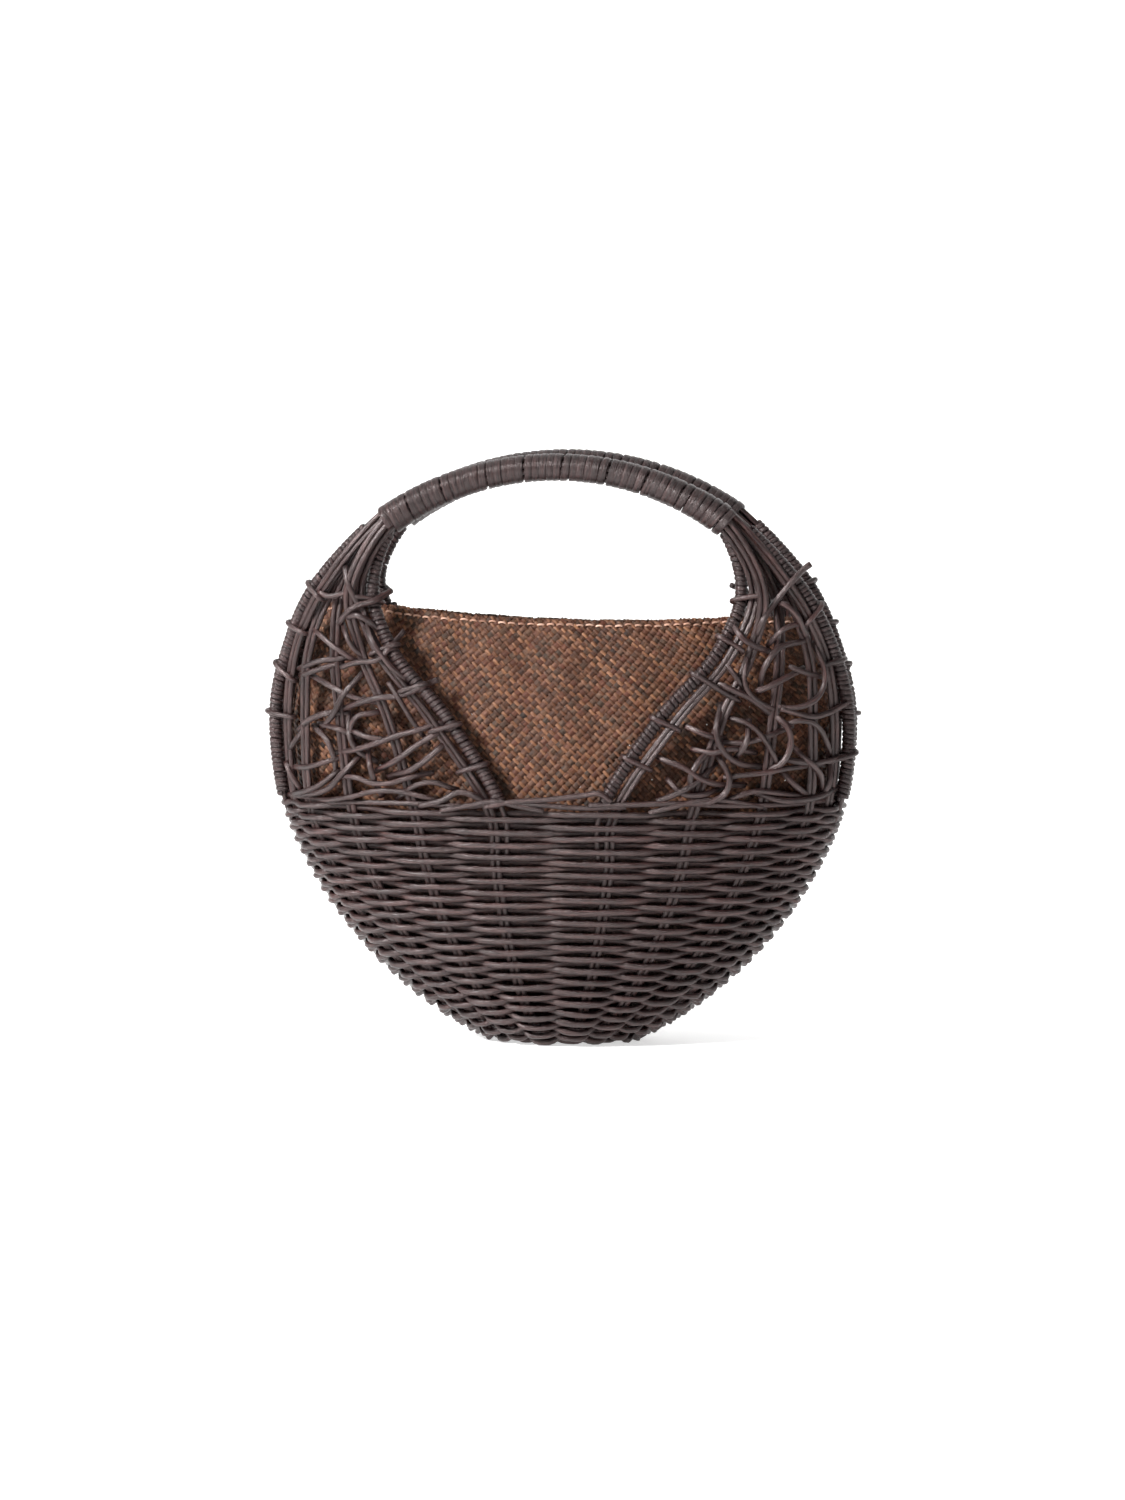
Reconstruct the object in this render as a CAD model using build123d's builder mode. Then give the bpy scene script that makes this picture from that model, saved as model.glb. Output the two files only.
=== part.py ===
from build123d import *
from math import cos, radians, sin, sqrt, tan
import os

# A round wicker handbag basket: a randed bowl on bent cane hoops, which fan out of two
# wrapped grips, with a pouch of diagonal mat inside.  Millimetres, +Z up, front towards -Y,
# +X to the right, origin under the middle of the base.

os.makedirs("parts", exist_ok=True)

# ---- driving dimensions ----
CANE = 2.7                # thickness of a stake cane
ROW = 3.0                 # thickness of one layer of weavers
STAKE_GAP = 4.0           # room for the stakes between the outer and inner weavers
STAKE_DEPTH = ROW + STAKE_GAP / 2
WALL = 2 * ROW + STAKE_GAP
BODY_TOP = 131.0          # height of the woven bowl
BASE_TOP = 6.0            # thickness of the base
PAIR_PITCH = 3.0          # centre distance of canes lying side by side

# side outline and front outline of the bowl: half = widest * (1 - s**power)**(1 / root),
# where s falls from 1 below the base to 0 at the height of the widest place
SIDE = dict(widest=160.0, start=-11.0, top=165.0, power=1.78, root=1.6)
FRONT = dict(widest=60.5, start=-5.0, top=230.0, power=3.6, root=3.1)

BOWL_HEIGHTS = (0, 2, 5, 10, 16, 24, 34, 46, 60, 76, 94, 112, BODY_TOP)
STAKE_HEIGHTS = (8, 13, 21, 33, 51, 76, 102, 128)

# the grips are arcs of one circle, seen from the front
GRIP_RADIUS = 165.6
GRIP_CENTRE_Z = 148.3
GRIP_HALF_ANGLE = 33.7
GRIP_Y = 30.0             # each grip's distance from the middle plane
BUNDLE_STEP = 12.4        # angle between the corners of the canes' lines along a grip
BUNDLE_CORNERS = 3        # corners on each side of the crown
GRIP_WRAP_OUTER = 7.3
GRIP_WRAP_INNER = 6.35

RIM_WRAP_OUTER = 2.9
RIM_WRAP_INNER = 1.45

# Five pairs of stakes in each quarter, counted from the outer rim in, then both rims.
# angle: place round the bowl; slot: place in the grip's bundle, in cane pitches
# outwards and forwards; fan: half-widths and distances from the middle plane at FAN_HEIGHTS.
FAN_HEIGHTS = (180, 215, 249)
FAN_LAYER = 0.9           # share of its layer in the bundle that a cane keeps at the fan's neck
BEND_SHARE = 0.3          # share of the shorter run that a bend takes
STRAIGHT = 0.003          # a turn in radians too small to bend
GRIP_FLOOR = 270.0        # corners with both neighbours above this are a grip's own
HOOPS = {
    "hoop_1": dict(angle=75.5, slot=(1, 0.5), x=(148.5, 143, 126.5), y=(15, 20, 29)),
    "hoop_2": dict(angle=64.0, slot=(0, -1.5), x=(137.5, 135, 121.5), y=(25, 26, 29)),
    "hoop_3": dict(angle=47.0, slot=(0, -0.5), x=(117, 120, 116), y=(35, 32, 29.5)),
    "hoop_4": dict(angle=29.5, slot=(0, 1.5), x=(90, 105, 111), y=(44, 38, 33.5)),
    "hoop_5": dict(angle=12.5, slot=(-1, 0.5), x=(66.5, 95, 106.5), y=(50, 42, 33)),
}
OUTER_RIM = dict(angle=82.5, slot=(1.5, -0.5), x=(156, 148, 131.5), y=(10, 15, 26.5))
OUTER_RIM_FOOT = 2        # heights by which the outer rims' feet stop short of the base
INNER_RIM = dict(slot=(-1.5, -0.5), x=(56.5, 88, 102), y=(50, 42.5, 32))
ACROSS_SHOULDER = (OUTER_RIM, *HOOPS.values(), INNER_RIM)
INNER_RIM_FOOT = ((24.5, 52.5, 104.0), (25.5, 54.2, 129.0))
RIM_WRAP_START = 0.18     # share of the first run above the bowl where a rim's wrap starts
RIM_WRAP_END = 0.4        # share of the run from the fan's neck to the grip where it ends
FRAMES = (("front", -1), ("rear", 1))
SIDES = (("left", -1), ("right", 1))

# pouch: half-width and half-depth of its outside above the bowl
POUCH_CLEARANCE = 0.3
POUCH_MAT = 1.4
POUCH_BOTTOM = 7.0
POUCH_TOP = 235.0
POUCH_UPPER = ((155, 147.5, 46.5), (180, 149, 41), (208, 142, 33), (POUCH_TOP, 128, 24))
PANEL_HALF = 55.0         # half-width of the pouch's middle panels
HEM_HEIGHT = 10.0
HEM_THICKNESS = 0.8
HEM_GAP = 0.4             # between the mat and the turned-in hem
STITCH = (4.3, 0.6, 0.9)
STITCH_PITCH = 6.2
STITCH_DROP = 3.6         # below the mouth's edge
STITCH_LIFT = 0.7         # from the mat's face to the middle of a stitch
STITCHES = 40

# canes woven over the shoulders: each layer's lift off the stakes, first height and rise
FILLER = 2.4
FILLER_LAYERS = ((3.4, 139, 2.5), (6.6, 155, -3.5))
FILLERS_PER_LAYER = 4
FILLER_PITCH = 22
FILLER_WAVE = 1.2
FILLER_PLACES = (5.0, 4.0, 3.0, 2.0, 1.0)

# canes tied round a rim and the pair beside it
TIE = 1.8
TIE_CLEARANCE = 0.3
TIE_CORNER = 3.6
OUTER_TIE_HEIGHTS = (160, 188, 206, 224)
INNER_TIE_HEIGHTS = (150, 170, 190, 207)

# the end of the last weaver, which rises in front of the bowl's top edge
LOOSE_CANE = ((-40, -57.2, 135.8), (-14, -58.4, 137.0), (12, -58.4, 140.0), (38, -57.2, 142.0))


# ---- geometry ----
def half_size(outline, height):
    """Half-width of an outline at a height, and how fast it grows with height."""
    span = outline["top"] - outline["start"]
    s = (outline["top"] - height) / span
    body = 1 - s ** outline["power"]
    half = outline["widest"] * body ** (1 / outline["root"])
    growth = half * outline["power"] * s ** (outline["power"] - 1) / (outline["root"] * body * span)
    return half, growth


def inside(outline, height, depth):
    """Half-width at a height of the surface lying a depth inside an outline."""
    level = height
    for _ in range(30):
        growth = half_size(outline, level)[1]
        level = height - depth * growth / sqrt(1 + growth**2)
    half, growth = half_size(outline, level)
    return half - depth / sqrt(1 + growth**2)


def layer(height, depth):
    return inside(SIDE, height, depth), inside(FRONT, height, depth)


def on_bowl(angle, height, depth, facing):
    """The point of a layer of the bowl at an angle from its middle plane, front or rear."""
    half_x, half_y = layer(height, depth)
    return Vector(half_x * sin(radians(angle)), facing * half_y * cos(radians(angle)), height)


def in_bundle(angle, outwards, forwards, facing):
    """A place in a grip's bundle, at an angle along the grip from its crown."""
    radius = (GRIP_RADIUS + outwards * PAIR_PITCH) / cos(radians(BUNDLE_STEP / 2))
    return Vector(
        radius * sin(radians(angle)),
        facing * (GRIP_Y + forwards * PAIR_PITCH),
        GRIP_CENTRE_Z + radius * cos(radians(angle)),
    )


def fan_points(hoop, facing):
    """Where a hoop crosses the shoulder, from the bowl up."""
    layers = (0, 0, FAN_LAYER * hoop["slot"][1] * PAIR_PITCH)
    return [
        Vector(x, facing * (y + step), z)
        for x, y, z, step in zip(hoop["x"], hoop["y"], FAN_HEIGHTS, layers)
    ]


def foot_points(hoop, facing, turn=0.0):
    """Where a hoop runs down inside the bowl, or that line turned a little round the bowl."""
    if "angle" in hoop:
        angle = hoop["angle"] + turn
        heights = STAKE_HEIGHTS[OUTER_RIM_FOOT:] if hoop is OUTER_RIM else STAKE_HEIGHTS
        return [on_bowl(angle, z, STAKE_DEPTH, facing) for z in heights]
    return [Vector(x, facing * y, z) for x, y, z in INNER_RIM_FOOT]


def mirrored(points):
    return [Vector(-p.X, p.Y, p.Z) for p in reversed(points)]


def hoop_line(hoop, facing):
    """Middle line of a whole hoop, from its right foot over the grip to its left foot."""
    corners = [BUNDLE_STEP * i for i in range(BUNDLE_CORNERS, -BUNDLE_CORNERS - 1, -1)]
    grip = [in_bundle(angle, *hoop["slot"], facing) for angle in corners]
    half = foot_points(hoop, facing) + fan_points(hoop, facing)
    return half + grip + mirrored(half)


def outward_directions(hoop, facing):
    """At each point of a hoop's line, the direction towards the outer rim."""
    foot = zip(foot_points(hoop, facing, 1), foot_points(hoop, facing))
    place = ACROSS_SHOULDER.index(hoop)
    further_out, further_in = (fan_points(ACROSS_SHOULDER[place + step], facing) for step in (-1, 1))
    fan = [Vector(p.X - q.X, p.Y - q.Y, 0) for p, q in zip(further_out, further_in)]
    fan[-1] = Vector(1, 0, 0)
    half = [turned - p for turned, p in foot] + fan
    corners = [BUNDLE_STEP * i for i in range(BUNDLE_CORNERS, -BUNDLE_CORNERS - 1, -1)]
    grip = [Vector(sin(radians(angle)), 0, cos(radians(angle))) for angle in corners]
    return half + grip + mirrored(half)


def beside(points, outward, side):
    """The line moved half a pitch towards the outer rim, or away from it."""
    moved = []
    for i, p in enumerate(points):
        before = points[i] - points[i - 1] if i else points[1] - points[0]
        after = points[i + 1] - points[i] if i + 1 < len(points) else before
        run = (before.normalized() + after.normalized()).normalized()
        across = (outward[i] - run * outward[i].dot(run)).normalized()
        moved.append(p + across * (side * PAIR_PITCH / 2))
    return moved


def bend_radii(points):
    """One radius for each inner point, so that its arc takes a share of the shorter run.
    The arcs of a grip's own corners meet, so that a cane follows the grip's circle."""
    radii = []
    for before, p, after in zip(points, points[1:], points[2:]):
        turn = radians((p - before).get_angle(after - p))
        shorter = min((p - before).length, (after - p).length)
        on_grip = min(before.Z, after.Z) > GRIP_FLOOR
        share = 0.499 if on_grip else BEND_SHARE
        radii.append(share * shorter / tan(turn / 2) if turn > STRAIGHT else 0)
    return radii


def save(piece, name):
    piece.part.label = name
    export_step(piece.part, f"parts/{name}.step")


def tubes(routes, outer, inner=0.0):
    """One builder holding a rod, or a tube, along each route of points and bend radii."""
    with BuildPart() as rods:
        for points, radii in routes:
            with BuildLine() as route:
                FilletPolyline(*points, radius=radii)
            with BuildSketch(Plane(origin=route.line @ 0, z_dir=route.line % 0)):
                Circle(outer)
                if inner:
                    Circle(inner, mode=Mode.SUBTRACT)
            sweep()
    return rods


def bent(points):
    return points, bend_radii(points)


# ---- base and bowl ----
with BuildPart() as woven_base:
    for height in (0, BASE_TOP):
        with BuildSketch(Plane.XY.offset(height)):
            Ellipse(*layer(height, ROW + 0.2))
    loft(ruled=True)
save(woven_base, "woven_base")


def bowl_layer(heights, outer_depth, inner_depth):
    with BuildPart() as shell:
        for height in heights:
            with BuildSketch(Plane.XY.offset(height)):
                Ellipse(*layer(height, outer_depth))
        loft(ruled=True)
        for height in heights:
            with BuildSketch(Plane.XY.offset(height)):
                Ellipse(*layer(height, inner_depth))
        loft(ruled=True, mode=Mode.SUBTRACT)
    return shell


save(bowl_layer(BOWL_HEIGHTS, 0, ROW), "outer_weave")
INNER_HEIGHTS = (BASE_TOP + 0.2,) + BOWL_HEIGHTS[3:]
save(bowl_layer(INNER_HEIGHTS, WALL - ROW, WALL), "inner_weave")

with BuildPart() as top_weavers:
    for depth in (ROW / 2, WALL - ROW / 2):
        half_x, half_y = layer(BODY_TOP, depth)
        with BuildLine(Plane.XY.offset(BODY_TOP + ROW / 2 + 0.1)) as ring:
            EllipticalCenterArc((0, 0), half_x, half_y, 0, arc_size=360)
        with BuildSketch(Plane(origin=ring.line @ 0, z_dir=ring.line % 0)):
            Circle(ROW / 2)
        sweep()
save(top_weavers, "top_weavers")

# ---- hoops, rims and grips ----
for frame, facing in FRAMES:
    for name, hoop in HOOPS.items():
        line = hoop_line(hoop, facing)
        outward = outward_directions(hoop, facing)
        canes = [bent(beside(line, outward, side)) for side in (-1, 1)]
        save(tubes(canes, CANE / 2), f"{frame}_{name}")
    for name, hoop in (("outer_rim", OUTER_RIM), ("inner_rim", INNER_RIM)):
        save(tubes([bent(hoop_line(hoop, facing))], CANE / 2), f"{frame}_{name}_core")


def rim_wrap_route(hoop, facing, side):
    """The stretch of a rim from just above the bowl to the neck of the fan, on the rim's own arcs."""
    line = [Vector(side * p.X, p.Y, p.Z) for p in hoop_line(hoop, facing)]
    last_foot = len(foot_points(hoop, facing)) - 1
    neck = last_foot + len(FAN_HEIGHTS)
    start = line[last_foot] + (line[last_foot + 1] - line[last_foot]) * RIM_WRAP_START
    end = line[neck] + (line[neck + 1] - line[neck]) * RIM_WRAP_END
    return [start, *line[last_foot + 1 : neck + 1], end], bend_radii(line)[last_foot:neck]


for frame, facing in FRAMES:
    for side_name, side in SIDES:
        for name, hoop in (("outer_rim", OUTER_RIM), ("inner_rim", INNER_RIM)):
            route = rim_wrap_route(hoop, facing, side)
            wrap = tubes([route], RIM_WRAP_OUTER, RIM_WRAP_INNER)
            save(wrap, f"{frame}_{side_name}_{name}_wrap")

for frame, facing in FRAMES:
    with BuildPart() as grip_wrap:
        with BuildLine(Plane.XZ.offset(-facing * GRIP_Y)) as crown:
            CenterArc(
                (0, GRIP_CENTRE_Z), GRIP_RADIUS, 90 - GRIP_HALF_ANGLE, arc_size=2 * GRIP_HALF_ANGLE
            )
        with BuildSketch(Plane(origin=crown.line @ 0, z_dir=crown.line % 0)):
            Circle(GRIP_WRAP_OUTER)
            Circle(GRIP_WRAP_INNER, mode=Mode.SUBTRACT)
        sweep()
    save(grip_wrap, f"{frame}_grip_wrap")

# ---- canes woven over the shoulders, and ties ----
SHOULDER = (OUTER_RIM, *HOOPS.values())


def shoulder_line(hoop, facing, side):
    """Middle line of a hoop on one side, from the top of the bowl to the neck of the fan."""
    top_of_foot = foot_points(hoop, facing)[-1]
    return [Vector(side * p.X, p.Y, p.Z) for p in (top_of_foot, *fan_points(hoop, facing))]


def at_height(line, height):
    """The point of a line of points at a height, and the line's direction there."""
    for low, high in zip(line, line[1:]):
        if height <= high.Z:
            break
    run = high - low
    return low + run * ((height - low.Z) / run.Z), run.normalized()


def over_shoulder(place, height, lift, facing, side):
    """A point lifted off the shoulder; place counts the hoops from the outer rim in."""
    first = min(int(place), len(SHOULDER) - 2)
    outer, run = at_height(shoulder_line(SHOULDER[first], facing, side), height)
    inner, _ = at_height(shoulder_line(SHOULDER[first + 1], facing, side), height)
    normal = run.cross(inner - outer).normalized() * (side * -facing)
    return outer + (inner - outer) * (place - first) + normal * lift


def fillers(facing, side):
    """Two layers of four canes each, rising outwards in the lower layer and falling in the upper."""
    routes = []
    for layer_lift, first_height, rise in FILLER_LAYERS:
        for count in range(FILLERS_PER_LAYER):
            points = []
            for step, place in enumerate(FILLER_PLACES):
                wave = FILLER_WAVE * sin(2.3 * count + 1.9 * step)
                height = first_height + FILLER_PITCH * count + rise * (5 - place) + wave
                points.append(over_shoulder(place, height, layer_lift, facing, side))
            routes.append(bent(points))
    return routes


def tie_plane(rim, hoop, height, facing, side):
    """Plane across a rim, centred between it and the pair beside it, and their distance."""
    at_rim, run = at_height(rim, height)
    at_pair, _ = at_height(shoulder_line(hoop, facing, side), height)
    across = at_pair - at_rim
    across = across - run * across.dot(run)
    return Plane(origin=at_rim + across / 2, x_dir=across, z_dir=run), across.length


def rim_ties(rim, hoop, heights, facing, side):
    """One cane ring round a wrapped rim and the pair of canes beside it at each height."""
    half_height = RIM_WRAP_OUTER + TIE / 2 + TIE_CLEARANCE
    with BuildPart() as ties:
        for height in heights:
            plane, distance = tie_plane(rim, hoop, height, facing, side)
            half_length = distance / 2 + RIM_WRAP_OUTER + TIE / 2 + TIE_CLEARANCE
            with BuildLine(plane) as ring:
                FilletPolyline(
                    (half_length, half_height),
                    (half_length, -half_height),
                    (-half_length, -half_height),
                    (-half_length, half_height),
                    radius=TIE_CORNER,
                    close=True,
                )
            with BuildSketch(Plane(origin=ring.line @ 0, z_dir=ring.line % 0)):
                Circle(TIE / 2)
            sweep()
    return ties


for frame, facing in FRAMES:
    for side_name, side in SIDES:
        save(tubes(fillers(facing, side), FILLER / 2), f"{frame}_{side_name}_fillers")
        outer_line = shoulder_line(OUTER_RIM, facing, side)
        ties = rim_ties(outer_line, HOOPS["hoop_1"], OUTER_TIE_HEIGHTS, facing, side)
        save(ties, f"{frame}_{side_name}_outer_ties")
        inner_line = shoulder_line(INNER_RIM, facing, side)
        ties = rim_ties(inner_line, HOOPS["hoop_5"], INNER_TIE_HEIGHTS, facing, side)
        save(ties, f"{frame}_{side_name}_inner_ties")

save(tubes([bent([Vector(*p) for p in LOOSE_CANE])], CANE / 2), "front_loose_cane")

# ---- pouch ----
POUCH_DEPTH = WALL + POUCH_CLEARANCE


def pouch_sections(inset):
    """Height, half-width and half-depth of the pouch, from its floor to its mouth."""
    bowl = [(z, *layer(z, POUCH_DEPTH + inset)) for z in (POUCH_BOTTOM + inset, *BOWL_HEIGHTS[3:])]
    return bowl + [(z, half_x - inset, half_y - inset) for z, half_x, half_y in POUCH_UPPER]


with BuildPart() as pouch:
    for height, half_x, half_y in pouch_sections(0):
        with BuildSketch(Plane.XY.offset(height)):
            Ellipse(half_x, half_y)
    loft(ruled=True)
    for height, half_x, half_y in pouch_sections(POUCH_MAT):
        with BuildSketch(Plane.XY.offset(height)):
            Ellipse(half_x, half_y)
    loft(ruled=True, mode=Mode.SUBTRACT)

BELOW_MOUTH, MOUTH = POUCH_UPPER[-2:]


def mouth_half_sizes(drop, inset):
    """Half-sizes of the pouch a little below its mouth, on the surface an inset inside it."""
    share = drop / (MOUTH[0] - BELOW_MOUTH[0])
    return [at + (below - at) * share - inset for at, below in zip(MOUTH[1:], BELOW_MOUTH[1:])]


HEM_OUTSIDE = POUCH_MAT + HEM_GAP
with BuildPart() as hem_ring:
    for inset, mode in ((HEM_OUTSIDE, Mode.ADD), (HEM_OUTSIDE + HEM_THICKNESS, Mode.SUBTRACT)):
        for drop in (HEM_HEIGHT, 0):
            with BuildSketch(Plane.XY.offset(POUCH_TOP - drop)):
                Ellipse(*mouth_half_sizes(drop, inset))
        loft(ruled=True, mode=mode)

# each half of the mat and of its hem is in panels that meet edge to edge
SIDE_CUTS = (Plane.YZ.offset(-PANEL_HALF), Plane.YZ.offset(PANEL_HALF))
for frame, keep in (("front", Keep.TOP), ("rear", Keep.BOTTOM)):
    for whole, name, cuts in (
        (pouch, "mat", (*SIDE_CUTS, Plane.XY.offset(BODY_TOP))),
        (hem_ring, "hem", SIDE_CUTS),
    ):
        with BuildPart() as half:
            add(whole.part)
            split(bisect_by=Plane.XZ, keep=keep)
            for cut in cuts:
                split(bisect_by=cut, keep=Keep.BOTH)
        save(half, f"pouch_{frame}_{name}")

stitch_x, stitch_y = mouth_half_sizes(STITCH_DROP, -STITCH_LIFT)
for frame, facing in FRAMES:
    places = []
    for x in [STITCH_PITCH * (i + 0.5) for i in range(-STITCHES // 2, STITCHES // 2)]:
        y = facing * stitch_y * sqrt(1 - (x / stitch_x) ** 2)
        outward = Vector(x / stitch_x**2, y / stitch_y**2, 0)
        across = Vector(-y / stitch_y**2, x / stitch_x**2, 0)
        places.append(Plane(origin=(x, y, POUCH_TOP - STITCH_DROP), x_dir=across, z_dir=outward))
    with BuildPart() as stitches:
        with Locations(*places):
            Box(STITCH[0], STITCH[2], STITCH[1])
    save(stitches, f"pouch_{frame}_stitching")
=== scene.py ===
from math import cos, pi, radians, sin

import bpy
import numpy as np
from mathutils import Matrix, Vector


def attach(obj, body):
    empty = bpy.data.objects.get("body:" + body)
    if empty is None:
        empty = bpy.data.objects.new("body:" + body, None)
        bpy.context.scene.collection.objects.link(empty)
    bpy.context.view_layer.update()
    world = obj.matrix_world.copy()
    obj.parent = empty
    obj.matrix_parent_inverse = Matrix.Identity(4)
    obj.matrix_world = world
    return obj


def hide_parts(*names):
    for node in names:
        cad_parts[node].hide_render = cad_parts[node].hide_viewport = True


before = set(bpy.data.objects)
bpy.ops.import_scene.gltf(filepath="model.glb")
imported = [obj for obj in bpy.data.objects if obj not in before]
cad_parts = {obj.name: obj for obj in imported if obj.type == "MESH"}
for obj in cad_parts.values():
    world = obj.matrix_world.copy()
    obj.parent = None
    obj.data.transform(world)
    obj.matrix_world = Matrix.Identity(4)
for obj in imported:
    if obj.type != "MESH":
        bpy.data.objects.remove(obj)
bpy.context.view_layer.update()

# The whole scene is worked out in millimetres and written in metres.
MM = 0.001
RNG = np.random.default_rng(11)

# ---- sizes, millimetres ----
CANE = 2.9
PAIR_PITCH = 3.05
STAKE_DEPTH = 5.0
ROW_RADIUS = 1.74
ROW_OUT = 0.6             # the rows run this much outside the stakes' line
WAVE = 2.75               # how far a row goes out past a stake, and in behind the next
END_WAVE = 1.1            # the same at the ends, where the stakes stand close
END_SWELL = 2.6           # the rows bulge past the stakes at the ends
TOP_WOBBLE = 0.8          # of the first rows below the edge
ROW_WOBBLE = 0.45
WOBBLY_ROWS = 6
BODY_TOP = 131.0
SIDE = dict(widest=160.0, start=-11.0, top=165.0, power=1.78, root=1.6)
FRONT = dict(widest=60.5, start=-5.0, top=230.0, power=3.6, root=3.1)
STAKE_HEIGHTS = (8, 13, 21, 33, 51, 76, 102, 128)
FAN_HEIGHTS = (180, 215, 249)
FAN_LAYER = 0.9
GRIP_RADIUS = 165.6
GRIP_CENTRE_Z = 148.3
GRIP_HALF_ANGLE = 33.7
GRIP_Y = 30.0
BUNDLE_STEP = 12.4
ARCH_SHARE = 0.86         # of each step over the grip, that a cane follows
HOOPS = {
    "hoop_1": dict(angle=75.5, slot=(1, 0.5), x=(148.5, 143, 126.5), y=(15, 20, 29)),
    "hoop_2": dict(angle=64.0, slot=(0, -1.5), x=(137.5, 135, 121.5), y=(25, 26, 29)),
    "hoop_3": dict(angle=47.0, slot=(0, -0.5), x=(117, 120, 116), y=(35, 32, 29.5)),
    "hoop_4": dict(angle=29.5, slot=(0, 1.5), x=(90, 105, 111), y=(44, 38, 33.5)),
    "hoop_5": dict(angle=12.5, slot=(-1, 0.5), x=(66.5, 95, 106.5), y=(50, 42, 33)),
}
OUTER_RIM = dict(angle=82.5, slot=(1.5, -0.5), x=(156, 148, 131.5), y=(10, 15, 26.5))
INNER_RIM = dict(slot=(-1.5, -0.5), x=(56.5, 88, 102), y=(50, 42.5, 32))
# how deep in the bowl the outer rim's two highest feet lie, out where the rows bulge
OUTER_FOOT_DEPTHS = (4.0, 1.8)
# how far the front's inner rims lean in over the notch, and the rear's lean out
INNER_RIM_LEANS = (0, 1.2, 2.5)
INNER_RIM_FOOT = ((24.5, 52.5, 104.0), (25.5, 54.2, 129.0))
ACROSS_SHOULDER = (OUTER_RIM, *HOOPS.values(), INNER_RIM)
FRAMES = (("front", -1), ("rear", 1))
SIDES = (("left", -1), ("right", 1))
STAKE_ANGLES = [82.5, 75.5, 64.0, 47.0, 29.5, 12.5]
STAKE_ANGLES = STAKE_ANGLES + [-a for a in reversed(STAKE_ANGLES)]
STAKES = sorted([a % 360 for a in STAKE_ANGLES] + [(180 - a) % 360 for a in STAKE_ANGLES])

# ---- colours ----
def tint(red, green, blue):
    """A colour given as 0-255 display values, in the shader's own values."""
    shares = [c / 255 for c in (red, green, blue)]
    return [c / 12.92 if c <= 0.04045 else ((c + 0.055) / 1.055) ** 2.4 for c in shares] + [1.0]


# ---- lines ----
def unit(v):
    return v / np.maximum(np.linalg.norm(v, axis=-1, keepdims=True), 1e-12)


def spline(points, step=2.5):
    """A smooth line through given points, in even steps."""
    p = np.array(points, float)
    p = np.vstack([2 * p[0] - p[1], p, 2 * p[-1] - p[-2]])
    pieces = []
    for a, b, c, d in zip(p, p[1:], p[2:], p[3:]):
        t1 = np.linalg.norm(b - a) ** 0.5
        t2 = t1 + np.linalg.norm(c - b) ** 0.5
        t3 = t2 + np.linalg.norm(d - c) ** 0.5
        t = np.linspace(t1, t2, 24, endpoint=False)[:, None]
        ab = (t1 - t) / t1 * a + t / t1 * b
        bc = (t2 - t) / (t2 - t1) * b + (t - t1) / (t2 - t1) * c
        cd = (t3 - t) / (t3 - t2) * c + (t - t2) / (t3 - t2) * d
        left = (t2 - t) / t2 * ab + t / t2 * bc
        right = (t3 - t) / (t3 - t1) * bc + (t - t1) / (t3 - t1) * cd
        pieces.append((t2 - t) / (t2 - t1) * left + (t - t1) / (t2 - t1) * right)
    return resampled(np.vstack([*pieces, p[-2][None]]), step)


def run_of(line):
    return np.concatenate([[0], np.cumsum(np.linalg.norm(np.diff(line, axis=0), axis=1))])


def resampled(line, step):
    run = run_of(line)
    count = max(int(round(run[-1] / step)), 2) + 1
    at = np.linspace(0, run[-1], count)
    return np.stack([np.interp(at, run, line[:, i]) for i in range(3)], 1)


def frames_of(line, reference=None):
    """Unit tangent, side and normal at each point of a line."""
    tangent = unit(np.gradient(line, axis=0))
    if reference is not None:
        normal = unit(reference - tangent * (reference * tangent).sum(1, keepdims=True))
        return tangent, np.cross(tangent, normal), normal
    first = np.cross(tangent[0], [0.31, 0.9, 0.3])
    normals = [first / np.linalg.norm(first)]
    for t in tangent[1:]:
        n = normals[-1] - t * normals[-1].dot(t)
        normals.append(n / np.linalg.norm(n))
    normal = np.array(normals)
    return tangent, np.cross(tangent, normal), normal


# outlines of a strand's section: across, and out from what it lies on
def round_section(sides):
    turn = np.arange(sides) * 2 * pi / sides
    return np.stack([np.cos(turn), np.sin(turn)], 1)


ROUND = round_section(10)
PEEL = np.array([
    (-1, -0.5), (-0.7, -1), (0.7, -1), (1, -0.5), (1, 0.2), (0.55, 1), (-0.55, 1), (-1, 0.2),
])
SPLINT = np.array([(-1, -0.6), (1, -0.6), (0.96, 0.6), (0, 1), (-0.96, 0.6)])
THREAD = round_section(6)


def wander(at, size, wave):
    """A smooth random wobble along a run of lengths."""
    total = 0
    for share in (1.0, 0.55, 0.3):
        pace = RNG.uniform(0.7, 1.4)
        shift = RNG.uniform(0, 2 * pi)
        total = total + share * np.sin(at * 2 * pi * pace / (wave * share) + shift)
    return total * size / 1.2


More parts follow.
